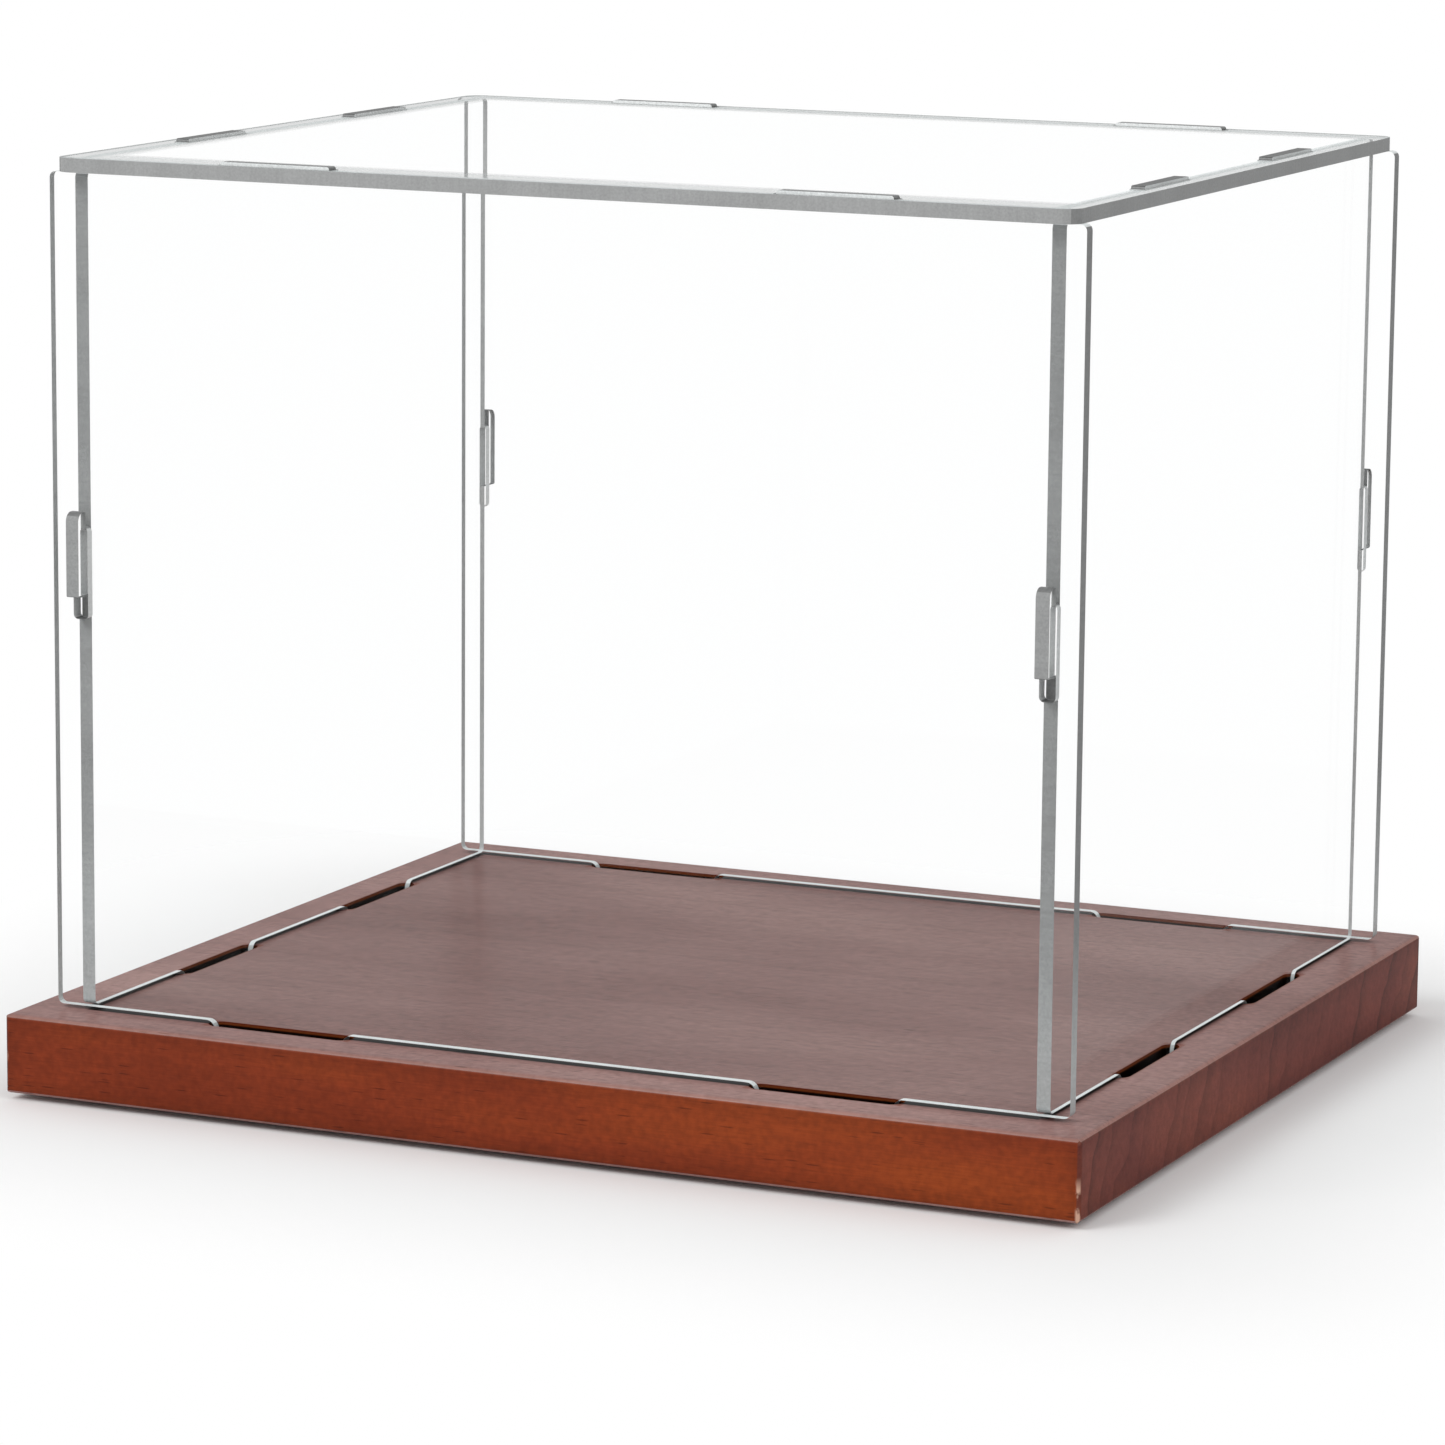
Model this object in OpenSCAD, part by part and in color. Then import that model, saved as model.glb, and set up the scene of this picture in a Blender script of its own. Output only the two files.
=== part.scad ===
// Knock-down acrylic display case on a wooden board.
// Five flat sheets lock together with tabs, slots and hooks, without glue or screws.
// The front is toward -Y, and the underside of the pads is at z = 0.

/* [Acrylic sheets] */
// Thickness of every sheet
acrylic_t = 4.5; // [3:0.5:6]
// Length of the front and back panels
case_w = 348; // [300:2:480]
// Depth over the outer faces of the front and back panels
case_d = 286; // [220:2:420]
// Height of the wall panels, without their tabs
wall_h = 267; // [200:1:420]
// How far the front and back panels run past the side panels
ear_w = 7.5; // [5:0.5:14]
// Corner radius of the wall panels
wall_corner_r = 2; // [0.5:0.5:4]

/* [Top panel] */
// How far the top panel stops short of each end of the front panel
top_end_inset = 2.5; // [0:0.5:4]
// How far the top panel runs past the front and back faces
top_overhang = 2.5; // [1.5:0.5:6]
// Corner radius of the top panel
top_corner_r = 6; // [2:0.5:10]

/* [Tabs] */
// Distance from the middle to the tabs of the front and back panels
long_tab_x = 94; // [45:1:100]
// Distance from the middle to the tabs of the side panels
side_tab_y = 57; // [32:1:68]
// Length of the tabs that go into the board
lower_tab_l = 45.6; // [30:0.2:56]
// Length that those tabs hang below the panel's lower edge
lower_tab_drop = 11; // [7:0.5:13]
// Fillet at the root of the tabs that go into the board
lower_tab_root_r = 3; // [0.2:0.1:3.2]
// Length of the tabs that come up through the top panel
upper_tab_l = 38; // [24:0.5:50]
// How far those tabs stand above the top panel
upper_tab_proud = 1; // [0:0.1:3]
// Fillet at the root of the tabs that come up through the top panel
upper_tab_root_r = 0.5; // [0.1:0.1:0.6]
// Corner radius at the tip of every tab
tab_tip_r = 0.8; // [0.2:0.1:1.4]

/* [Hooks] */
// Height of the underside of the hooks above the panels' lower edge
hook_z = 133; // [60:1:150]
// Height of the hook heads
hook_head_h = 27; // [16:0.5:40]
// Thickness of the hook heads in front of the panel
hook_head_t = 4.7; // [3:0.1:8]
// How far each hook head covers the panel above its slot
hook_cover = 5.2; // [3:0.1:7]
// Radius of the outer top corner of each hook head
hook_nose_r = 3; // [1:0.1:3]
// Depth of the slot left open below each hook
hook_drop = 7.6; // [7.5:0.1:12]

/* [Board] */
// How far the board runs past the ends of the front and back panels
board_rim_end = 10; // [4:1:60]
// How far the board runs past the front and back faces
board_rim_face = 17; // [10:1:60]
// Thickness of the board
board_t = 26; // [18:1:40]
// Radius of the board's eased edges
board_edge_r = 2; // [0.5:0.5:4]
// Width of the routed slots, which is the router bit's own
board_slot_w = 9; // [7:0.5:10]

/* [Pads] */
// Diameter of the non-slip pads
pad_d = 14; // [8:1:24]
// Height of the pads
pad_h = 2; // [1:0.5:5]
// Distance from the board's sides to the middle of a pad
pad_inset = 26; // [16:1:50]

/* [Clearances] */
// Gap under the panels' lower edges, which the tabs hold off the board by standing in their slots
board_seat_gap = 1.2; // [0.8:0.1:1.6]
// Gap at each end of a tab in its board slot
board_slot_end_gap = 2.8; // [2.8:0.1:5]
// Gap between each upright edge of a side panel and the front or back panel
side_end_gap = 0.2; // [0.1:0.05:0.5]
// Gap on each side of a tab in the top panel's slot
top_slot_side_gap = 0.2; // [0.1:0.05:0.5]
// Gap at each end of a tab in the top panel's slot
top_slot_end_gap = 0.8; // [0.8:0.1:2]
// Gap on each side of a hook in its slot
hook_side_gap = 0.4; // [0.3:0.1:0.8]
// Gap between a hook's neck and the top of its slot
hook_top_gap = 0.7; // [0.7:0.1:1.5]
// Gap between a hook head and the face of the panel it holds
hook_face_gap = 0.3; // [0.1:0.1:1]
// Corner radius of the hook slots
hook_slot_r = 1.6; // [0.5:0.1:1.6]

/* [Hidden] */

// Largest turn of one straight piece of a rounded corner, in degrees
arc_step = 10;

// Size of the board
board_w = case_w + 2 * board_rim_end;
board_d = case_d + 2 * board_rim_face;

// Heights of the main faces
board_top_z = pad_h + board_t;
wall_z = board_top_z + board_seat_gap;
top_panel_z = wall_z + wall_h;

// Planes of the walls
front_face_y = case_d / 2;
side_face_x = case_w / 2 - ear_w;
side_mid_x = side_face_x - acrylic_t / 2;
side_half_d = case_d / 2 - acrylic_t - side_end_gap;

// Slots cut for the tabs and the hooks
board_slot_l = lower_tab_l + 2 * board_slot_end_gap;
board_slot_depth = lower_tab_drop - board_seat_gap;
top_slot_l = upper_tab_l + 2 * top_slot_end_gap;
top_slot_w = acrylic_t + 2 * top_slot_side_gap;
upper_tab_h = acrylic_t + upper_tab_proud;
hook_slot_w = acrylic_t + 2 * hook_side_gap;
hook_slot_top = hook_z + hook_head_h - hook_cover;
hook_slot_bottom = hook_z - hook_drop;
hook_neck_top = hook_slot_top - hook_top_gap;
hook_inner_y = front_face_y + hook_face_gap;
hook_outer_y = hook_inner_y + hook_head_t;

// ---------- Outlines ----------

function unit(v) = v / norm(v);

// Points of one corner of an outline: p, with its neighbours before and after it.
// Each is [x, y, radius], and a radius of 0 leaves the corner sharp.
function corner_points(before, p, after) =
    let (
        corner = [p.x, p.y],
        back = unit([before.x, before.y] - corner),
        on = unit([after.x, after.y] - corner),
        half_angle = acos(back * on) / 2,
        centre = corner + unit(back + on) * p.z / sin(half_angle),
        first = corner + back * p.z / tan(half_angle) - centre,
        turn = (180 - 2 * half_angle) * sign(cross(-back, on)),
        steps = ceil(abs(turn) / arc_step),
        start = atan2(first.y, first.x)
    )
    p.z == 0 ? [corner] :
    [for (i = [0 : steps]) centre + p.z * [cos(start + turn * i / steps), sin(start + turn * i / steps)]];

// Outline through [x, y, radius] corners, each rounded by its own radius
module rounded_outline(corners) {
    n = len(corners);
    polygon([
        for (i = [0 : n - 1])
            each corner_points(corners[(i + n - 1) % n], corners[i], corners[(i + 1) % n])
    ]);
}

module rounded_rectangle(w, d, r) {
    rounded_outline([[-w / 2, -d / 2, r], [w / 2, -d / 2, r], [w / 2, d / 2, r], [-w / 2, d / 2, r]]);
}

// Corners of a tab that hangs below a panel, from left to right
function lower_tab(middle) = [
    [middle - lower_tab_l / 2, 0, lower_tab_root_r],
    [middle - lower_tab_l / 2, -lower_tab_drop, tab_tip_r],
    [middle + lower_tab_l / 2, -lower_tab_drop, tab_tip_r],
    [middle + lower_tab_l / 2, 0, lower_tab_root_r]
];

// Corners of a tab that stands on top of a panel, from right to left
function upper_tab(middle) = [
    [middle + upper_tab_l / 2, wall_h, upper_tab_root_r],
    [middle + upper_tab_l / 2, wall_h + upper_tab_h, tab_tip_r],
    [middle - upper_tab_l / 2, wall_h + upper_tab_h, tab_tip_r],
    [middle - upper_tab_l / 2, wall_h, upper_tab_root_r]
];

// Corners of the hook on the right edge of a side panel, from its underside to its neck
hook_corners = [
    [side_half_d, hook_z, 0],
    [hook_outer_y, hook_z, 0.6],
    [hook_outer_y, hook_z + hook_head_h, hook_nose_r],
    [hook_inner_y, hook_z + hook_head_h, 0.4],
    [hook_inner_y, hook_neck_top, 0.4],
    [side_half_d, hook_neck_top, 0]
];

// The same hook on the left edge, from its neck to its underside
mirrored_hook_corners = [for (i = [len(hook_corners) - 1 : -1 : 0])
    [-hook_corners[i].x, hook_corners[i].y, hook_corners[i].z]];

// Front and back panels: four tabs, and two upright slots that the hooks pass through
module long_wall_outline() {
    difference() {
        rounded_outline(concat(
            [[-case_w / 2, 0, wall_corner_r]],
            lower_tab(-long_tab_x),
            lower_tab(long_tab_x),
            [[case_w / 2, 0, wall_corner_r], [case_w / 2, wall_h, wall_corner_r]],
            upper_tab(long_tab_x),
            upper_tab(-long_tab_x),
            [[-case_w / 2, wall_h, wall_corner_r]]
        ));
        for (side = [-1, 1])
            translate([side * side_mid_x, (hook_slot_top + hook_slot_bottom) / 2])
                rounded_rectangle(hook_slot_w, hook_slot_top - hook_slot_bottom, hook_slot_r);
    }
}

// Side panels: four tabs, and a hook half way up each upright edge
module side_wall_outline() {
    rounded_outline(concat(
        [[-side_half_d, 0, wall_corner_r]],
        lower_tab(-side_tab_y),
        lower_tab(side_tab_y),
        [[side_half_d, 0, wall_corner_r]],
        hook_corners,
        [[side_half_d, wall_h, wall_corner_r]],
        upper_tab(side_tab_y),
        upper_tab(-side_tab_y),
        [[-side_half_d, wall_h, wall_corner_r]],
        mirrored_hook_corners
    ));
}

// Places its children at the middle of each slot, turned along the wall that it serves
module at_each_tab() {
    for (side = [-1, 1], end = [-1, 1]) {
        translate([end * long_tab_x, side * (front_face_y - acrylic_t / 2)]) children();
        translate([side * side_mid_x, end * side_tab_y]) rotate(90) children();
    }
}

// ---------- Sub-parts ----------

module long_wall() {
    translate([0, acrylic_t, wall_z]) rotate([90, 0, 0])
        linear_extrude(acrylic_t) long_wall_outline();
}

module side_wall() {
    translate([0, 0, wall_z]) rotate([90, 0, 90])
        linear_extrude(acrylic_t) side_wall_outline();
}

module front_panel() {
    color([0.80, 0.88, 0.90, 0.35]) translate([0, -front_face_y, 0]) long_wall();
}

module back_panel() {
    color([0.80, 0.88, 0.90, 0.35]) translate([0, front_face_y - acrylic_t, 0]) long_wall();
}

module left_panel() {
    color([0.84, 0.90, 0.92, 0.35]) translate([-side_face_x, 0, 0]) side_wall();
}

module right_panel() {
    color([0.84, 0.90, 0.92, 0.35]) translate([side_face_x - acrylic_t, 0, 0]) side_wall();
}

// The top lies on the edges of the four walls, and their tabs come up through its slots
module top_panel() {
    color([0.86, 0.92, 0.94, 0.35]) translate([0, 0, top_panel_z])
        linear_extrude(acrylic_t) difference() {
            rounded_rectangle(case_w - 2 * top_end_inset, case_d + 2 * top_overhang, top_corner_r);
            at_each_tab() square([top_slot_l, top_slot_w], center = true);
        }
}

// Board with eased edges all round, and a routed slot with round ends under each tab
module base_board() {
    color("saddlebrown") difference() {
        translate([0, 0, pad_h]) intersection() {
            linear_extrude(board_t) rounded_rectangle(board_w, board_d, board_edge_r);
            translate([0, board_d / 2, board_t / 2]) rotate([90, 0, 0])
                linear_extrude(board_d) rounded_rectangle(board_w, board_t, board_edge_r);
            translate([-board_w / 2, 0, board_t / 2]) rotate([90, 0, 90])
                linear_extrude(board_w) rounded_rectangle(board_d, board_t, board_edge_r);
        }
        translate([0, 0, board_top_z - board_slot_depth]) linear_extrude(board_slot_depth + 1)
            at_each_tab() rounded_rectangle(board_slot_l, board_slot_w, board_slot_w / 2);
    }
}

// One stuck-on rubber pad, a little narrower where it meets the table
module pad(side_x, side_y) {
    color("dimgray")
        translate([side_x * (board_w / 2 - pad_inset), side_y * (board_d / 2 - pad_inset), 0])
            cylinder(h = pad_h, d1 = pad_d - pad_h, d2 = pad_d, $fn = 48);
}

base_board();
front_panel();
back_panel();
left_panel();
right_panel();
top_panel();
pad(-1, -1);  // front_left_pad
pad(1, -1);  // front_right_pad
pad(-1, 1);  // back_left_pad
pad(1, 1);  // back_right_pad
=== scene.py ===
# %% [markdown]
# # A knock-down acrylic display case
# A collector's case is five clear sheets on a wooden board. Nothing is glued: tabs drop into slots in the
# board and come up through the top, and hooks on the side sheets hold the front and back. The solids are
# already exact, so this script gives them their finishes, a floor, soft light and a camera.

# %% Load the solids
import math
from functools import partial

import bpy
import numpy as np
from mathutils import Matrix, Vector


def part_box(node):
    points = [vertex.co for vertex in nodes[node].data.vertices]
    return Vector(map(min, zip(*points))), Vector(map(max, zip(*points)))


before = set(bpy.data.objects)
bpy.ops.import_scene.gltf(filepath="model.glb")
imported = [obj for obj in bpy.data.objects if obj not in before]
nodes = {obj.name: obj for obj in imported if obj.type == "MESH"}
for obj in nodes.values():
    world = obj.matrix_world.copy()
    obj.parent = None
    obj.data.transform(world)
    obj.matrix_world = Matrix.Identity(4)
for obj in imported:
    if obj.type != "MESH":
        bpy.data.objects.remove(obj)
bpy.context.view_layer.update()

# %% [markdown]
# ## Sizes that the finishes need
# The finishes follow the solids, so every size is measured from them: the board's box, the height of its
# top face, the top sheet's box and the ends of the front sheet. Nothing is typed in twice.

# %% Measure the solids
MM = 0.001


def mm(*sizes):
    """Sizes in mm as metres, which is what Blender works in."""
    return [size * MM for size in sizes]


board_low, board_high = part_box("base_board")
board_middle = (board_low + board_high) / 2
board_half = (board_high - board_low) / 2
top_low, top_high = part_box("top_panel")
front_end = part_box("front_panel")[1].x
walls_middle, walls_half = (top_low.z + board_high.z) / 2, (top_low.z - board_high.z) / 2
print("sheet thickness in mm:", round((top_high.z - top_low.z) / MM, 2))
print("board in mm:", [round(2 * v / MM, 1) for v in board_half])

# %% [markdown]
# The board has eight slots, mirrored left to right and front to back, so one end slot and one long slot
# say it all. Their corners are the only points of the board's mesh that lie well inside its outline.

# %% Measure the slots
OUTLINE_MM = 4.0        # the outline's rounding ends nearer to it than this
SLOT_DEPTH_MM = 20.0    # no slot is as deep as this
END_SHARE = 0.85        # the end slots lie past this share of the board's half width


def box_of_points(points):
    """Middle and half size of the smallest upright rectangle round the points, in x and y."""
    low, high = points[:, :2].min(0), points[:, :2].max(0)
    return (low + high) / 2, (high - low) / 2


board_points = np.empty(3 * len(nodes["base_board"].data.vertices), np.float32)
nodes["base_board"].data.vertices.foreach_get("co", board_points)
quarter = np.abs(board_points.reshape(-1, 3))    # all four quarters laid on one
well_inside = (quarter[:, 0] < board_half.x - OUTLINE_MM * MM) & (quarter[:, 1] < board_half.y - OUTLINE_MM * MM)
slot_points = quarter[well_inside & (quarter[:, 2] > board_high.z - SLOT_DEPTH_MM * MM)]
in_end = slot_points[:, 0] > END_SHARE * board_half.x
SLOTS = {"end": box_of_points(slot_points[in_end]), "long": box_of_points(slot_points[~in_end])}
for name, (middle, half) in SLOTS.items():
    print(name, "slot in mm: middle", np.round(middle / MM, 1), "size", np.round(2 * half / MM, 1))

# %% [markdown]
# ## The camera
# A product picture of a case is taken from a little above, with a long lens, so that the near corner isn't
# stretched. The camera stands 24 degrees to the right of the front and looks 10 degrees down. Its three
# axes are worked out from those angles, and a matrix of them is the camera's own rotation.

# %% Camera
PICTURE_PX = 1445
FOCAL_PX = 6154.4
SENSOR_MM = 36.0
AZIMUTH, ELEVATION, ROLL = map(math.radians, (24.43, 10.26, 0.51))
CAMERA_PLACE = Vector((816.3, -1809.8, 471.3)) * MM
FAR_CLIP = 50.0         # metres, well past the floor


def camera_axes(azimuth, elevation, roll):
    """Right, up and backward unit vectors of a camera that stands at azimuth right of the front and at
    elevation above the floor, turned by roll about its own line of sight."""
    backward = Vector((math.sin(azimuth) * math.cos(elevation), -math.cos(azimuth) * math.cos(elevation),
                       math.sin(elevation)))
    right = Vector((0, 0, 1)).cross(backward).normalized()
    up = backward.cross(right)
    return (math.cos(roll) * right + math.sin(roll) * up, math.cos(roll) * up - math.sin(roll) * right, backward)


bpy.context.scene.view_settings.view_transform = "Standard"
camera_data = bpy.data.cameras.new("case_camera")
camera_data.sensor_width = SENSOR_MM
camera_data.lens = FOCAL_PX / PICTURE_PX * SENSOR_MM
camera_data.clip_end = FAR_CLIP
camera = bpy.data.objects.new("case_camera", camera_data)
axes = camera_axes(AZIMUTH, ELEVATION, ROLL)
camera.matrix_world = Matrix.Translation(CAMERA_PLACE) @ Matrix(axes).transposed().to_4x4()
bpy.context.scene.collection.objects.link(camera)
bpy.context.scene.camera = camera
print("lens in mm:", round(camera_data.lens, 1))

# %% [markdown]
# ## Helpers for materials
# Colours are written as the hex values a designer would pick on a screen. A shader wants linear light, so
# one function converts them. Another adds a node with its settings and links in one line, which keeps each
# material short enough to read as a recipe. It takes a node in place of a socket, so recipes can be nested.

# %% Colours and nodes


def linear(hex_colour):
    """A #RRGGBB colour as linear red, green, blue and 1: each channel c becomes ((c + 0.055) / 1.055) ** 2.4,
    or c / 12.92 where it is very dark."""
    channels = np.array([int(hex_colour[i:i + 2], 16) for i in (1, 3, 5)]) / 255
    light = np.where(channels > 0.04045, ((channels + 0.055) / 1.055) ** 2.4, channels / 12.92)
    return (*light.tolist(), 1.0)


def add(tree, kind, *values, stops=(), **named):
    """Adds a shader node. values fill the sockets that it has in use, in order. A keyword with a capital names
    a socket, with _ for a space, and any other keyword is one of the node's own properties. A value is a
    number, a hex colour, a socket, or a node, which stands for its first output. stops are the (position, hex
    colour) pairs of a ramp."""
    made = tree.nodes.new("ShaderNode" + kind)
    for name in filter(str.islower, named):
        setattr(made, name, named[name])
    for _ in stops[2:]:
        made.color_ramp.elements.new(1.0)
    for i, (position, colour) in enumerate(stops):
        made.color_ramp.elements[i].position = position
        made.color_ramp.elements[i].color = linear(colour)
    wanted = list(zip([socket for socket in made.inputs if socket.enabled], values))
    wanted += [(made.inputs[name.replace("_", " ")], named[name]) for name in named if name[0].isupper()]
    for socket, value in wanted:
        if isinstance(value, bpy.types.Node):
            value = next(output for output in value.outputs if output.enabled)
        if isinstance(value, bpy.types.NodeSocket):
            tree.links.new(value, socket)
        else:
            socket.default_value = linear(value) if isinstance(value, str) else value
    return made


def new_material(name):
    """An empty material, and add() for its own tree."""
    material = bpy.data.materials.new(name)
    material.use_nodes = True
    material.node_tree.nodes.clear()
    return material, partial(add, material.node_tree)


def dress(name, material):
    """Gives a solid its material."""
    nodes[name].data.materials.clear()
    nodes[name].data.materials.append(material)
    print(material.name, "on", name)


def looks_along(node, part, least):
    """1 where the normal's part along an axis is more than least, one way or the other, and 0 elsewhere."""
    return node("Math", node("Math", part, operation="ABSOLUTE"), least, operation="GREATER_THAN")


print("a mid grey, #808080, is", round(linear("#808080")[0], 3), "in linear light")

# %% [markdown]
# ## Clear cast acrylic with laser-cut edges
# The sheets are polymethyl methacrylate, cast between glass plates, so the two big faces are as flat and
# glossy as glass, with an index of refraction of 1.49. A laser melts its way through the sheet and leaves
# frosted edges with faint ripples across the thickness. Both belong to one solid, so the material tells
# them apart by the surface normal: on the big faces it points along the thin axis.
#
# The frosting is drawn first, as three patterns of noise that make the grey a little lighter and darker.

# %% Acrylic: ripples and frosting
RIPPLE_MM = 1.2         # the real ripples are about 0.3 mm apart, drawn coarser so that they show
FROST_MM = 0.7          # the real frosting is finer than a tenth of this
HEAT_WAVES = 45.0       # per metre, or 22 mm each: the laser's heat changes slowly along a cut
ACROSS = 0.02           # how much slower the ripples change across the thickness
SWINGS = (0.04, 0.09, 0.06)     # how much ripples, frosting and heat lighten and darken the grey
NOISE_RANGE = (0.3, 0.7)        # nearly all noise lies between these


def frosting(node, here, thin_axis):
    """The ripples as noise from 0 to 1, and a grey tone near 1. The tone is the product of 1 + swing * n over
    the three patterns, with n from -1 to 1."""
    stretch = [1 / (RIPPLE_MM * MM)] * 3
    stretch[thin_axis] *= ACROSS
    ripple = node("TexNoise", node("Mapping", here, Scale=stretch), Scale=1.0, Detail=2.0)
    frost = node("TexNoise", here, Scale=1 / (FROST_MM * MM), Detail=2.0)
    heat = node("TexNoise", here, Scale=HEAT_WAVES, Detail=2.0)
    tones = [node("MapRange", pattern, *NOISE_RANGE, 1 - swing, 1 + swing)
             for pattern, swing in zip((ripple, frost, heat), SWINGS)]
    tone = node("Math", node("Math", tones[0], tones[1], operation="MULTIPLY"), tones[2], operation="MULTIPLY")
    return ripple, node("CombineColor", tone, tone, tone)


print("ripples every", RIPPLE_MM, "mm, frosting of", FROST_MM, "mm")

# %% [markdown]
# Where an edge is, and which way it faces, decides its grey, so these greys are painted light and shade on one
# frosting. The level edges are painted almost white, as painted light for the light that a clear sheet pipes
# to its edges. The upright ones are grey, with painted shade where they face sideways and painted light close
# to the board. The tips of the upper tabs and the level edges of the hooks half way up are painted darker, as
# painted shade, and the slots round the hooks lighter, as painted light. An edge that is seen from inside its
# sheet is painted lighter, as painted light for the daylight that the frosting lets in.

# %% Acrylic: greys of the edges, with painted light and shade
# Painted light: the near-white grey of the level edges, for the light that the sheet pipes to them
EDGE_LIGHT = "#DDE1E1"
# Painted light: the lighter grey of the slots round the hooks
HOOK_SLOT_LIGHT = "#C8CACA"
# Painted light: the upright edges are painted lighter near the board, fading out at this height
BOARD_PAINTED_LIGHT, BOARD_PAINTED_LIGHT_MM = 0.4, 60.0   # share of edge light at the board, and the height where it ends
TIP_MM = 0.1            # the tabs' tips stand further than this out of the top sheet
HOOK_FREE_MM = 20.0     # the hooks stay further than this from the board and the top sheet
END_FREE_MM = 2.0       # the slots round the hooks stay further than this from the ends of their sheet
FACING = 0.7            # an edge faces along an axis where its normal has more than this along it


def edge_grey(node, spot, facing, greys):
    """Colour of a frosted edge, with painted light and shade. spot holds x, y and z, facing is 1 where the edge
    looks along that axis, and greys are the sheet's painted greys."""
    # Painted shade where an upright edge faces sideways
    grey = node("Mix", facing[0], greys["upright"], greys["sideways_shade"], data_type="RGBA")
    # Painted light close to the board
    painted_glow = node("MapRange", spot[2], board_high.z, board_high.z + BOARD_PAINTED_LIGHT_MM * MM, BOARD_PAINTED_LIGHT, 0.0)
    grey = node("Mix", painted_glow, grey, EDGE_LIGHT, data_type="RGBA")

    # Painted light on the level edges, painted shade on the tabs' tips and on the hooks' level edges
    is_tip = node("Math", spot[2], top_high.z + TIP_MM * MM, operation="GREATER_THAN")
    level_grey = node("Mix", is_tip, EDGE_LIGHT, greys["tab_tip_shade"], data_type="RGBA")
    at_hooks = node("Math", spot[2], walls_middle, walls_half - HOOK_FREE_MM * MM, operation="COMPARE")
    level_grey = node("Mix", at_hooks, level_grey, greys["sideways_shade"], data_type="RGBA")
    grey = node("Mix", facing[2], grey, level_grey, data_type="RGBA")

    # Painted light: the upright walls of the slots round the hooks are painted lighter
    off_end = node("Math", node("Math", spot[0], operation="ABSOLUTE"), front_end - END_FREE_MM * MM,
                   operation="LESS_THAN")
    at_slot = node("Math", at_hooks, off_end, operation="MULTIPLY")
    slot_wall = node("Math", at_slot, facing[0], operation="MULTIPLY")
    return node("Mix", slot_wall, grey, HOOK_SLOT_LIGHT, data_type="RGBA")


print("edge light", EDGE_LIGHT, "fades out", BOARD_PAINTED_LIGHT_MM, "mm over the board")

# %% [markdown]
# The frosted edge is a matt dielectric in that grey. The shoulders that carry the top sheet are lit from
# inside by the sheet they belong to. Real light inside the sheet would take very long to compute, so a weak
# glow stands in for it.

# %% Acrylic: frosted edge
ACRYLIC_IOR = 1.49
SHOULDER_GLOW = 0.22    # strength of the light that comes out of the shoulders
SHOULDER_MM = 0.3       # a level edge this near to the top sheet is a shoulder


def frosted_edge(node, here, spot, facing, thin_axis, greys, painted_inside_light):
    """Shader of the laser-cut edges, and of the tabs' sides. painted_inside_light is the share of painted edge
    light that is mixed in where an edge is seen from inside."""
    grey = edge_grey(node, spot, facing, greys)
    # Painted light on the tabs' sides
    grey = node("Mix", facing[thin_axis], grey, greys["tab_side_light"], data_type="RGBA")
    # Painted light: an edge seen from inside its sheet is painted lighter
    seen_inside = node("NewGeometry").outputs["Backfacing"]
    painted_inner_light = node("Math", seen_inside, painted_inside_light, operation="MULTIPLY")
    grey = node("Mix", painted_inner_light, grey, EDGE_LIGHT, data_type="RGBA")
    ripple, tone = frosting(node, here, thin_axis)
    grey = node("Mix", 1.0, grey, tone, data_type="RGBA", blend_type="MULTIPLY")

    at_shoulder = node("Math", spot[2], top_low.z, SHOULDER_MM * MM, operation="COMPARE")
    is_shoulder = node("Math", at_shoulder, facing[2], operation="MULTIPLY")
    painted_glow = node("Math", is_shoulder, SHOULDER_GLOW, operation="MULTIPLY")
    bump = node("Bump", Strength=0.25, Distance=0.1 * MM, Height=ripple)
    return node("BsdfPrincipled", Base_Color=grey, Roughness=0.5, IOR=ACRYLIC_IOR, Specular_IOR_Level=0.15,
                Normal=bump, Emission_Color=EDGE_LIGHT, Emission_Strength=painted_glow)


print("index of refraction:", ACRYLIC_IOR)

# %% [markdown]
# A clear face bends light and mirrors some of it. Past the critical angle, inside the sheet, it mirrors all.
# One shader for glass would do both, but then lamps would hardly reach the board, so the parts are mixed by
# hand. Rays to the lamps, and those that a matt or satin surface has scattered, pass straight through: a
# clear sheet then casts almost no shadow, and no lamp counts twice, once directly and once through the bent
# light. A ray that the sheet itself bends is a glossy one as well, but a singular one, which tells it apart.

# %% Acrylic: clear face
FACE_GLOSS = 0.1        # share of its full reflection that a sheet shows where most of the room is dim
CRITICAL = 0.98         # a Fresnel share over this is met only past the critical angle
BENT_LIGHT = (0.998, 0.999, 0.999, 1)       # red, green and blue light that passes one face of the sheet
STRAIGHT_LIGHT = (0.97, 0.975, 0.975, 1)    # the same for rays that pass straight through


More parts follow.
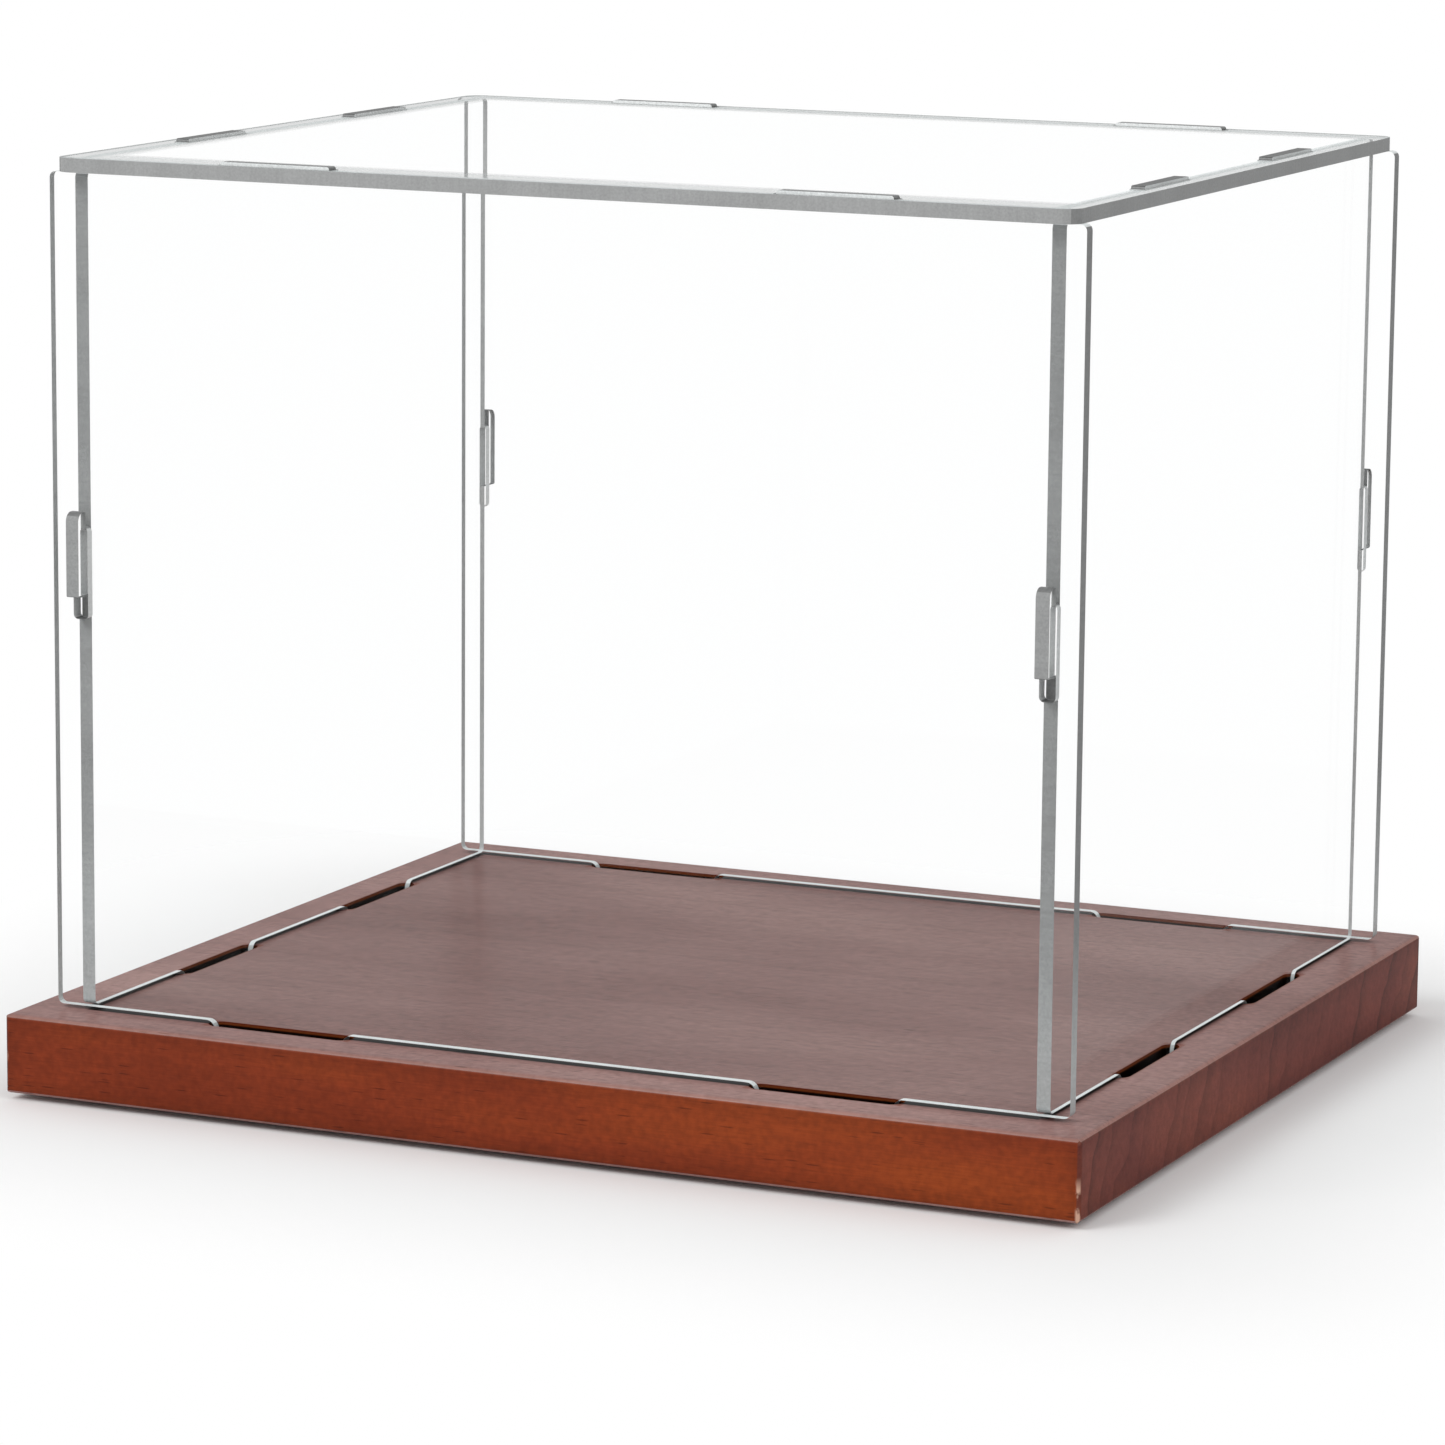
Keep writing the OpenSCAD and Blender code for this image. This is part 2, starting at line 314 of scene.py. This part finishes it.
def clear_face(node):
    """Mirror share max(FACE_GLOSS * F, F > CRITICAL), with F from Fresnel, over refraction."""
    through = node("BsdfRefraction", BENT_LIGHT, Roughness=0.0, IOR=ACRYLIC_IOR)
    mirror = node("BsdfGlossy", "#FFFFFF", Roughness=0.0)
    fresnel = node("Fresnel", ACRYLIC_IOR)
    partly = node("Math", fresnel, FACE_GLOSS, operation="MULTIPLY")
    wholly = node("Math", fresnel, CRITICAL, operation="GREATER_THAN")
    glass = node("MixShader", node("Math", partly, wholly, operation="MAXIMUM"), through, mirror)

    rays = node("LightPath").outputs
    satin = node("Math", rays["Is Glossy Ray"], rays["Is Singular Ray"], operation="SUBTRACT", use_clamp=True)
    scattered = node("Math", rays["Is Diffuse Ray"], satin, operation="MAXIMUM")
    straight = node("Math", rays["Is Shadow Ray"], scattered, operation="MAXIMUM")
    return node("MixShader", straight, glass, node("BsdfTransparent", STRAIGHT_LIGHT))


head_on = ((ACRYLIC_IOR - 1) / (ACRYLIC_IOR + 1)) ** 2
print("mirror share of a face seen straight on:", round(FACE_GLOSS * head_on, 4))

# %% [markdown]
# A pale film along the border of the top sheet, wider on the left than on the right, is painted light: it
# stands in for the pale bands of light that the sheet's border shows. It shows only at a glancing look, so
# its share grows with the third power of how edge-on the face is seen.

# %% Acrylic: painted light along the border
# Painted light band along the top sheet's border: its widths, fade, share and grey
BORDER_BAND_MM = {"left": 18.0, "right": 8.0, "front_and_back": 20.0}   # width of the band along each side
BORDER_BAND_FULL = 0.7         # the haze is full up to this share of its width
BORDER_BAND_SHARE = 0.6        # share of the light that it scatters where it is seen edge-on
BORDER_BAND_COLOUR = "#B4B7B7"


def painted_border_band(node, spot, face):
    """The face under a pale film of painted light. Its share is BORDER_BAND_SHARE * border * facing ** 3."""
    ways = {"left": (node("Math", spot[0], -1.0, operation="MULTIPLY"), top_high.x),
            "right": (spot[0], top_high.x),
            "front_and_back": (node("Math", spot[1], operation="ABSOLUTE"), top_high.y)}
    bands = [node("MapRange", way, half - BORDER_BAND_MM[side] * MM, half - BORDER_BAND_FULL * BORDER_BAND_MM[side] * MM)
             for side, (way, half) in ways.items()]
    border = node("Math", node("Math", bands[0], bands[1], operation="MAXIMUM"), bands[2], operation="MAXIMUM")
    edge_on = node("LayerWeight", Blend=0.5).outputs["Facing"]
    glancing = node("Math", edge_on, 3.0, operation="POWER")
    painted_band = node("Math", border, glancing, operation="MULTIPLY")
    share = node("Math", painted_band, BORDER_BAND_SHARE, operation="MULTIPLY")
    return node("MixShader", share, face, node("BsdfDiffuse", BORDER_BAND_COLOUR))


# The haze band is painted light
print("haze band in mm:", BORDER_BAND_MM)

# %% [markdown]
# The parts come together in one material for each direction in which a sheet is thin. The short tabs that
# stand in the top sheet's slots are frosted all over: a face that small shows little but the frosted edges
# round it.

# %% Acrylic: one material for each direction
TAB_ROOT_MM = 0.2       # the tabs are frosted from this far into the top sheet's slots
SHEETS = {
    "x": ("left_panel", "right_panel"),
    "y": ("front_panel", "back_panel"),
    "z": ("top_panel",),
}
# Lit and shaded copies of one frosted grey, as painted light and shade: darker sideways and at the tab tips,
# lighter on the tab sides
# The top sheet has no tabs, so its last two greys never show
GREYS = {
    "x": {"upright": "#929393", "sideways_shade": "#767777", "tab_tip_shade": "#5A5B5B", "tab_side_light": "#C8CBCB"},
    "y": {"upright": "#929393", "sideways_shade": "#767777", "tab_tip_shade": "#7A7B7B", "tab_side_light": "#EEF1F1"},
    "z": {"upright": "#9A9B9B", "sideways_shade": "#848585", "tab_tip_shade": "#7A7B7B", "tab_side_light": "#EEF1F1"},
}
# Painted light: how much lighter an edge is painted where it is seen from inside its sheet
PAINTED_INSIDE_LIGHT = {"x": 0.1, "y": 0.25, "z": 0.7}      # share of edge light in an edge that is seen from inside


def clear_acrylic(name, thin_axis, greys, painted_inside_light):
    """Cast acrylic with frosted edges, for a sheet whose thickness runs along thin_axis (0, 1 or 2)."""
    material, node = new_material(name)
    place = node("TexCoord")
    here = place.outputs["Object"]
    spot = node("SeparateXYZ", here).outputs
    normal = node("SeparateXYZ", place.outputs["Normal"]).outputs
    facing = {axis: looks_along(node, normal[axis], FACING) for axis in {0, 2, thin_axis}}
    is_face = facing[thin_axis]
    edge = frosted_edge(node, here, spot, facing, thin_axis, greys, painted_inside_light)
    face = clear_face(node)
    if thin_axis == 2:
        face = painted_border_band(node, spot, face)
    else:
        below_top = node("Math", spot[2], top_low.z + TAB_ROOT_MM * MM, operation="LESS_THAN")
        is_face = node("Math", is_face, below_top, operation="MULTIPLY")
    node("OutputMaterial", node("MixShader", is_face, edge, face))
    return material


for axis, (letter, sheets) in enumerate(SHEETS.items()):
    acrylic = clear_acrylic(f"cast_acrylic_thin_along_{letter}", axis, GREYS[letter], PAINTED_INSIDE_LIGHT[letter])
    for name in sheets:
        dress(name, acrylic)

# %% [markdown]
# ## Stained wood board
# The board is one piece of a close-grained hardwood, stained red-brown and sprayed with a satin varnish.
# Its grain is a solid pattern: growth rings are cylinders round a pith that lies outside the board, so
# the ends show slanted stripes and the front and top show long streaks, and all faces agree at the edges.
# A flat picture of grain on each face would be easier, but it would break at every edge.

# %% Wood: growth rings
RING_MM = 13.0          # wide rings, as in fast-grown wood
PITH = Vector((0.0, 330.0, -95.0)) * MM
BEND_MM = 34.0          # how far the rings wander from true circles
BEND_WAVES = (4.0, 24.0, 24.0)      # per metre along x, y and z: the grain wanders over 250 mm of its length


def stretched_noise(node, here, waves, detail=3.0):
    """Noise with its own count of waves per metre along x, y and z."""
    return node("TexNoise", node("Mapping", here, Scale=waves), Scale=1.0, Detail=detail)


def growth_rings(node, here, y, z):
    """Late and early wood from 0 to 1. The distance from the pith, sqrt((y - py) ** 2 + (z - pz) ** 2), is bent
    a little by noise that is long in the grain direction. Divided by RING_MM, its whole part numbers the ring
    and gives it a darkness of its own, and the rest f is the place in the ring: late wood is f ** 4."""
    ways = [node("Math", y, PITH.y, operation="SUBTRACT"), node("Math", z, PITH.z, operation="SUBTRACT")]
    squares = [node("Math", way, way, operation="MULTIPLY") for way in ways]
    radius = node("Math", node("Math", *squares, operation="ADD"), operation="SQRT")
    bend = node("Math", stretched_noise(node, here, BEND_WAVES), 0.5, operation="SUBTRACT")
    radius = node("Math", radius, node("Math", bend, BEND_MM * MM, operation="MULTIPLY"), operation="ADD")
    count = node("Math", radius, RING_MM * MM, operation="DIVIDE")
    darkness = node("TexWhiteNoise", node("Math", count, operation="FLOOR"), noise_dimensions="1D")
    rest = node("Math", count, operation="FRACT")
    late = node("Math", node("Math", rest, 4.0, operation="POWER"), darkness, operation="MULTIPLY")
    return late, node("Math", rest, darkness, operation="MULTIPLY")


print("rings", RING_MM, "mm wide round a pith at", [round(v / MM) for v in PITH])

# %% [markdown]
# Pores are the cut ends of the tree's vessels. On a long face they show as short dark dashes along the
# grain, so they are stretched Voronoi cells, of which only a few are open.

# %% Wood: pores
PORE_MM = (7.0, 0.6, 0.6)       # a real pore is about 0.1 mm wide, drawn coarser so that it shows
PORE_EDGE = (0.42, 0.25)        # distance from a cell's middle where its pore starts, and where it is full
OPEN_CHANCE = (0.86, 0.94)      # a cell whose random number is over these is open


def open_pores(node, here):
    """1 in the middle of an open pore and 0 elsewhere."""
    stretched = node("Mapping", here, Scale=[1 / (v * MM) for v in PORE_MM])
    cells = node("TexVoronoi", stretched, Scale=1.0, feature="F1")
    in_middle = node("MapRange", cells.outputs["Distance"], *PORE_EDGE)
    is_open = node("MapRange", node("SeparateColor", cells.outputs["Color"]), *OPEN_CHANCE)
    return node("Math", in_middle, is_open, operation="MULTIPLY")


print("pores in mm:", PORE_MM)

# %% [markdown]
# End grain drinks more stain than the long faces, and is darker and redder. The long faces are orange-brown,
# and the top is a duller, paler brown, which is its stain with a painted sheen of the satin varnish. Each has
# three shades, mixed by a slow cloud of noise.

# %% Wood: stain
LONG_FACE = [(0.25, "#6B2812"), (0.5, "#7A3016"), (0.75, "#8A3C17")]
END_FACE = [(0.25, "#572720"), (0.5, "#653028"), (0.75, "#743B2E")]
# The top's greyer, paler shades hold a painted sheen on top of the stain
TOP_STAIN_AND_SHEEN = [(0.25, "#735551"), (0.5, "#80625E"), (0.75, "#8C6E69")]


def stain(node, cloud, is_end, level):
    """Colour of the stain: the long faces' own, or that of the ends, or that of the top with a painted sheen."""
    long_face, end_face, top_stain_and_sheen = [node("ValToRGB", cloud, stops=shades)
                                     for shades in (LONG_FACE, END_FACE, TOP_STAIN_AND_SHEEN)]
    colour = node("Mix", is_end, long_face, end_face, data_type="RGBA")
    return node("Mix", level, colour, top_stain_and_sheen, data_type="RGBA")


print("stain of the long faces:", [colour for _, colour in LONG_FACE])

# %% [markdown]
# Much of the board's wear follows its borders and slots, so both are found by distance. The second smallest
# distance to the board's three pairs of faces is a point's way to the nearest border.

# %% Wood: distances


def to_borders(node, spot):
    """Distance to the nearest border, and to the nearest upright one."""
    offsets = [node("Math", value, middle, operation="SUBTRACT") for value, middle in zip(spot, board_middle)]
    gaps = [node("Math", half, node("Math", offset, operation="ABSOLUTE"), operation="SUBTRACT")
            for offset, half in zip(offsets, board_half)]
    low = node("Math", gaps[0], gaps[1], operation="MINIMUM")
    high = node("Math", gaps[0], gaps[1], operation="MAXIMUM")
    return node("Math", low, node("Math", high, gaps[2], operation="MINIMUM"), operation="MAXIMUM"), high


def to_slots(node, spot):
    """Distance to the nearest slot. For one slot it is the larger of | |x| - middle | - half and the same in y,
    because the slots are mirrored."""
    ways = []
    for middle, half in SLOTS.values():
        mirrored = [node("Math", value, operation="ABSOLUTE") for value in spot[:2]]
        offsets = [node("Math", value, float(m), operation="SUBTRACT") for value, m in zip(mirrored, middle)]
        off = [node("Math", node("Math", offset, operation="ABSOLUTE"), float(h), operation="SUBTRACT")
               for offset, h in zip(offsets, half)]
        ways.append(node("Math", *off, operation="MAXIMUM"))
    return node("Math", *ways, operation="MINIMUM")


print("slots that the distance knows:", list(SLOTS))

# %% [markdown]
# The patterns darken and lighten the stain together. The top lies almost level with the rings, so their
# lines are wide and faint there. Its rim, outside the sheets, is painted lighter than the wood under the
# cover, as painted light: the top reads darker inside the case. Stain also gathers along the borders of the
# sides, and dries darker there.

# %% Wood: grain and pallor
STAIN_EDGE = mm(1.5, 7.0)       # from a border, the way where the stain is darkest, and where that ends
BORDER_TONE, TOP_BORDER_TONE = 0.82, 0.94
TOP_RINGS = 0.25        # share of the rings' contrast that the top shows
# Painted light: the rim of the top is lighter than the wood under the cover by this share
RIM_PAINTED_LIGHT = 0.27       # how much lighter the rim is than the wood inside
TONES = {"late": (1.04, 0.6), "early": (1.04, 0.86), "fibre": (0.88, 1.11), "mottle": (0.86, 1.14),
         "pore": (1.0, 0.55)}   # tone where a pattern is low, and where it is high


def grain_tone(node, rings, fibre, mottle, pore, border, level, under_cover):
    """Product of the tones of all patterns, with painted light on the rim of the top. A point under the cover is
    inside the middle lines of the slots.
    """
    clear_rings = node("MapRange", level, 0.0, 1.0, 1.0, TOP_RINGS)
    late, early = [node("Math", ring, clear_rings, operation="MULTIPLY") for ring in rings]
    painted_rim_light = node("MapRange", under_cover, 0.0, 1.0, RIM_PAINTED_LIGHT, 0.0)
    dark_border = node("MapRange", border, *STAIN_EDGE, BORDER_TONE, 1.0)
    top_border = node("Math", level, TOP_BORDER_TONE, operation="MULTIPLY")
    tones = [node("MapRange", late, 0.0, 1.0, *TONES["late"]),
             node("MapRange", early, 0.0, 1.0, *TONES["early"]),
             node("MapRange", fibre, *NOISE_RANGE, *TONES["fibre"]),
             node("MapRange", mottle, *NOISE_RANGE, *TONES["mottle"]),
             node("MapRange", pore, 0.0, 1.0, *TONES["pore"]),
             node("Math", dark_border, top_border, operation="MAXIMUM"),
             node("Math", level, painted_rim_light, 1.0, operation="MULTIPLY_ADD")]
    tone = tones[0]
    for other in tones[1:]:
        tone = node("Math", tone, other, operation="MULTIPLY")
    return node("CombineColor", tone, tone, tone)


print("rim lighter by", RIM_PAINTED_LIGHT)

# %% [markdown]
# A router leaves raw walls in the slots, which take stain unevenly, and deeper down they are painted darker to
# near black, as painted shade in the slot. Their lips are rubbed by the tabs. Along the lower edges of the
# sheets a dark line is painted on the top face, as a painted shadow of the narrow gap between the board and the
# sheets.

# %% Wood: slots, with painted shade and painted shadow
LIP = mm(0.8, 0.3)              # from a slot, the way where its lip starts, and where it is full
LIP_COLOUR, LIP_SHARE = "#7A3A1E", 0.5
SLOT_EDGE = mm(0.3, 0.05)       # the same for the slot's walls
WALL_TOP = mm(0.02, 0.1)        # depth where the walls start, and where they are full
WALL_MM = 2.5                   # depth of the whole ramp of SLOT_WALL_AND_SHADE
# Raw wall colours near the top of a slot, then painted shade down to near black
SLOT_WALL_AND_SHADE = [(0.0, "#5A2018"), (0.15, "#6E3018"), (0.32, "#7A3C1A"), (0.42, "#3A1A0C"), (0.52, "#0A0504")]
# Painted shadow of the narrow gap under the sheets: its colour, its width, and its depth, on the top face only
GAP_SHADOW_COLOUR = "#1E100C"
GAP_SHADOW = mm(2.3, 1.6)             # from the line's middle, the way where it starts, and where it is full
GAP_SHADOW_DEPTH = mm(0.3, 0.1)       # dust lies on the top face only


def routed_slots(node, colour, slot_way, depth):
    """The colour with rubbed lips at the slots, and walls painted darker with depth as painted shade. depth is
    measured from the top face.
    """
    lip = node("Math", node("MapRange", slot_way, *LIP), LIP_SHARE, operation="MULTIPLY")
    colour = node("Mix", lip, colour, LIP_COLOUR, data_type="RGBA")
    wall_and_shade = node("ValToRGB", node("MapRange", depth, 0.0, WALL_MM * MM), stops=SLOT_WALL_AND_SHADE)
    in_slot = node("MapRange", slot_way, *SLOT_EDGE)
    below_top = node("MapRange", depth, *WALL_TOP)
    return node("Mix", node("Math", in_slot, below_top, operation="MULTIPLY"), colour, wall_and_shade, data_type="RGBA")


def gap_shadow_lines(node, colour, lines, inside, depth):
    """The colour with a painted shadow under the sheets: a dark line on each of the slots' middle lines, which
    ends where it meets the other.
    """
    offsets = [node("Math", way, line, operation="SUBTRACT") for way, line in lines]
    beneath = [node("MapRange", node("Math", offset, operation="ABSOLUTE"), *GAP_SHADOW) for offset in offsets]
    gap_shadow = node("Math", node("Math", beneath[0], inside[1], operation="MULTIPLY"),
                node("Math", beneath[1], inside[0], operation="MULTIPLY"), operation="MAXIMUM")
    on_top = node("MapRange", depth, *GAP_SHADOW_DEPTH)
    return node("Mix", node("Math", gap_shadow, on_top, operation="MULTIPLY"), colour, GAP_SHADOW_COLOUR, data_type="RGBA")


# The dust lines are painted shadow under the sheets
print("slot lips", LIP[0] / MM, "mm wide, dust lines", 2 * GAP_SHADOW[0] / MM, "mm")

# %% [markdown]
# Handling rubs the varnish thin along the top border and chips the lower half of the corners, where the pale
# wood shows.

# %% Wood: wear
RUBBED_COLOUR, RUBBED_SHARE = "#A8705A", 0.3
RUBBED, RUBBED_DEPTH = mm(1.3, 0.6), mm(2.2, 1.2)   # from a border and from the top: start, and full
CHIP_COLOUR = "#C9A08A"
CHIP_WAVES = (260.0, 260.0, 150.0)      # chips are about 4 mm wide and 7 mm high
CHIP_NOISE = (0.5, 0.58)                # noise where a chip starts, and where it is full
CHIPPED = mm(1.6, 0.9)                  # the same, as a way from an upright border
CHIPPED_DEPTH = [share * 2 * board_half.z for share in (0.45, 0.6)]     # the same, as a depth


def wear(node, here, colour, border, corner, depth):
    """The colour with rubbed borders near the top, and chips on the lower half of the corners."""
    near_border = node("MapRange", border, *RUBBED)
    near_top = node("MapRange", depth, *RUBBED_DEPTH)
    rubbed = node("Math", near_border, near_top, operation="MULTIPLY")
    rubbed = node("Math", rubbed, RUBBED_SHARE, operation="MULTIPLY")
    colour = node("Mix", rubbed, colour, RUBBED_COLOUR, data_type="RGBA")
    chips = node("MapRange", stretched_noise(node, here, CHIP_WAVES, 5.0), *CHIP_NOISE)
    worn = node("Math", node("MapRange", corner, *CHIPPED), chips, operation="MULTIPLY")
    worn = node("Math", worn, node("MapRange", depth, *CHIPPED_DEPTH), operation="MULTIPLY")
    return node("Mix", worn, colour, CHIP_COLOUR, data_type="RGBA")


print("worn corners", CHIPPED[0] / MM, "mm wide")

# %% [markdown]
# The board's material puts these in order, from the stain up to the wear, and adds the satin varnish: a thin
# coat over a base that itself doesn't shine, with the fibres and pores felt through it as a faint relief.

# %% Wood: the board
STEEP = 0.5             # a face is an end or the top where its normal has more than this along x or z
# Waves per metre along x, y and z. Real fibres are finer, and are drawn coarser so that they show
STAIN_WAVES = (7.0, 16.0, 30.0)         # clouds of 140, 60 and 33 mm
FIBRE_WAVES = (90.0, 1900.0, 1900.0)    # fibres 11 mm long and 0.5 mm wide
MOTTLE_WAVES = (420.0, 420.0, 420.0)    # spots of 2.4 mm
RELIEF = {"fibre": 0.35, "pore": -0.5}  # height of each in the bump, as a share of its distance
LINE_SLOTS = ("end", "long")            # the slots whose middle lines run along y, and along x
SATIN = (0.34, 0.46)                    # roughness of the base, from the darkest cloud to the lightest


def stained_wood(name):
    """Hardwood under a red-brown stain and a satin varnish, with worn corners, painted shade in the routed
    slots, painted shadow under the sheets, and painted sheen and painted light on the top.
    """
    material, node = new_material(name)
    place = node("TexCoord")
    here = place.outputs["Object"]
    spot = node("SeparateXYZ", here).outputs
    normal = node("SeparateXYZ", place.outputs["Normal"]).outputs
    is_end, level = looks_along(node, normal[0], STEEP), looks_along(node, normal[2], STEEP)
    depth = node("Math", board_high.z, spot[2], operation="SUBTRACT")
    border, corner = to_borders(node, spot)
    lines = [(node("Math", spot[i], operation="ABSOLUTE"), float(SLOTS[slot][0][i]))
             for i, slot in enumerate(LINE_SLOTS)]
    inside = [node("MapRange", way, line, line - MM) for way, line in lines]
    under_cover = node("Math", *inside, operation="MULTIPLY")

    cloud = stretched_noise(node, here, STAIN_WAVES, 2.0)
    fibre = stretched_noise(node, here, FIBRE_WAVES)
    mottle = stretched_noise(node, here, MOTTLE_WAVES)
    pore = open_pores(node, here)
    rings = growth_rings(node, here, spot[1], spot[2])
    tone = grain_tone(node, rings, fibre, mottle, pore, border, level, under_cover)
    colour = node("Mix", 1.0, stain(node, cloud, is_end, level), tone, data_type="RGBA", blend_type="MULTIPLY")
    colour = routed_slots(node, colour, to_slots(node, spot), depth)
    colour = gap_shadow_lines(node, colour, lines, inside, depth)
    colour = wear(node, here, colour, border, corner, depth)

    relief = node("Math", node("Math", fibre, RELIEF["fibre"], operation="MULTIPLY"),
                  node("Math", pore, RELIEF["pore"], operation="MULTIPLY"), operation="ADD")
    bump = node("Bump", Strength=0.35, Distance=0.08 * MM, Height=relief)
    varnished = node("BsdfPrincipled", Base_Color=colour, Roughness=node("MapRange", cloud, 0.0, 1.0, *SATIN),
                     Specular_IOR_Level=0.0, Coat_Weight=0.25, Coat_Roughness=0.28, Normal=bump)
    node("OutputMaterial", varnished)
    return material


dress("base_board", stained_wood("red_brown_stained_hardwood"))

# %% [markdown]
# ## Rubber pads
# Small moulded pads keep the board off the table. Moulded rubber is dark and matt, with a fine leathery
# bloom that only changes how it scatters light.

# %% Rubber
GRAIN_WAVES = 1500.0    # per metre, or 0.7 mm each, as a mould's own grain


def moulded_rubber(name):
    """Matt black rubber with a fine moulded texture."""
    material, node = new_material(name)
    grain = node("TexNoise", node("TexCoord").outputs["Object"], Scale=GRAIN_WAVES, Detail=2.0)
    bump = node("Bump", Strength=0.3, Distance=0.05 * MM, Height=grain)
    node("OutputMaterial", node("BsdfPrincipled", Base_Color="#2B2B2B", Roughness=0.7, Normal=bump))
    return material


rubber = moulded_rubber("moulded_rubber")
for name in nodes:
    if name.endswith("_pad"):
        dress(name, rubber)

# %% [markdown]
# ## Floor and world
# The background is plain white. The floor is a wide disc that is diffuse under the case, where it has to
# catch a shadow, and turns into pure white further out, where it has to meet the world's white without a
# seam. Rays from the camera, and those that reach it by a mirror or through a clear sheet, see white.

# %% Shape of the floor
FLOOR_RADIUS = 6.0


def floor_disc(radius, rings=24, sectors=96):
    """A flat disc. Ring i has radius * (i / rings) ** 2, so that the cells are small near the middle."""
    share, turn = np.meshgrid((np.arange(1, rings + 1) / rings) ** 2, np.arange(sectors) * 2 * np.pi / sectors,
                              indexing="ij")
    points = np.stack([radius * share * np.cos(turn), radius * share * np.sin(turn), np.zeros_like(turn)], -1)
    points = np.vstack([[[0, 0, 0]], points.reshape(-1, 3)])
    inner = 1 + np.arange(rings - 1)[:, None] * sectors + np.arange(sectors)[None, :]
    after = 1 + np.arange(rings - 1)[:, None] * sectors + (np.arange(sectors)[None, :] + 1) % sectors
    quads = np.stack([inner, inner + sectors, after + sectors, after], -1).reshape(-1, 4)
    first = 1 + np.arange(sectors)
    fan = np.stack([np.zeros(sectors, int), first, 1 + first % sectors], -1)
    mesh = bpy.data.meshes.new("floor")
    mesh.from_pydata(points.tolist(), [], quads.tolist() + fan.tolist())
    return mesh


floor = bpy.data.objects.new("floor", floor_disc(FLOOR_RADIUS))
bpy.context.scene.collection.objects.link(floor)
print("floor with", len(floor.data.polygons), "cells")

# %% [markdown]
# The paint's white share is 0 under the case and grows smoothly with the distance from the board's outline.
# The world lights the case at a plain level, and is white only where it is seen.

# %% Floor paint and world
SHADOW_REACH = (0.015, 0.16)    # metres from the board where the shadow starts to fade, and where it has gone
WORLD_LIGHT = 0.72
FLOOR_PAINT = "#F7F7F7"


def seen_directly(node):
    """1 for rays that show the background: from the camera, off a mirror or through glass."""
    rays = node("LightPath").outputs
    either = node("Math", rays["Is Camera Ray"], rays["Is Glossy Ray"], operation="MAXIMUM")
    return node("Math", either, rays["Is Transmission Ray"], operation="MAXIMUM")


def pale_floor(name):
    """Pale matt paint near the case that turns into pure white further out."""
    material, node = new_material(name)
    spot = node("SeparateXYZ", node("TexCoord").outputs["Object"]).outputs
    past = [node("Math", node("Math", spot[i], operation="ABSOLUTE"), board_half[i], operation="SUBTRACT")
            for i in (0, 1)]
    off = [node("Math", value, 0.0, operation="MAXIMUM") for value in past]
    squares = [node("Math", value, value, operation="MULTIPLY") for value in off]
    away = node("Math", node("Math", *squares, operation="ADD"), operation="SQRT")
    far = node("MapRange", away, *SHADOW_REACH, interpolation_type="SMOOTHSTEP")
    white_share = node("Math", far, seen_directly(node), operation="MULTIPLY")
    paint = node("BsdfDiffuse", FLOOR_PAINT)
    white = node("Emission", "#FFFFFF", 1.0)
    node("OutputMaterial", node("MixShader", white_share, paint, white))
    return material


floor.data.materials.append(pale_floor("pale_floor_paint"))

world = bpy.data.worlds.new("soft_white_studio")
world.use_nodes = True
world.node_tree.nodes.clear()
bpy.context.scene.world = world
node = partial(add, world.node_tree)
strength = node("Math", seen_directly(node), WORLD_LIGHT, operation="MAXIMUM")
node("OutputWorld", node("Background", "#FFFFFF", strength))
print("world light:", WORLD_LIGHT)

# %% [markdown]
# ## Lamps
# Two large soft boxes do the modelling: a key from the upper left and front, and a weaker one from the
# right, so that the end of the board is a little darker than its front.

# %% Lamps
LAMP_TARGET = Vector((0, 0, 0.1))
# Place and side in metres, and power in watts
SOFT_BOXES = {"key_soft_box": ((-1.1, -1.9, 1.9), 1.2, 26), "fill_soft_box": ((2.0, -0.6, 1.4), 1.0, 6)}

for name, (place, side, power) in SOFT_BOXES.items():
    lamp = bpy.data.lights.new(name, "AREA")
    lamp.size = side
    lamp.energy = power
    soft_box = bpy.data.objects.new(name, lamp)
    soft_box.location = place
    soft_box.rotation_euler = (LAMP_TARGET - Vector(place)).to_track_quat("-Z", "Y").to_euler()
    bpy.context.scene.collection.objects.link(soft_box)
    print(name, "of", power, "W at", place)
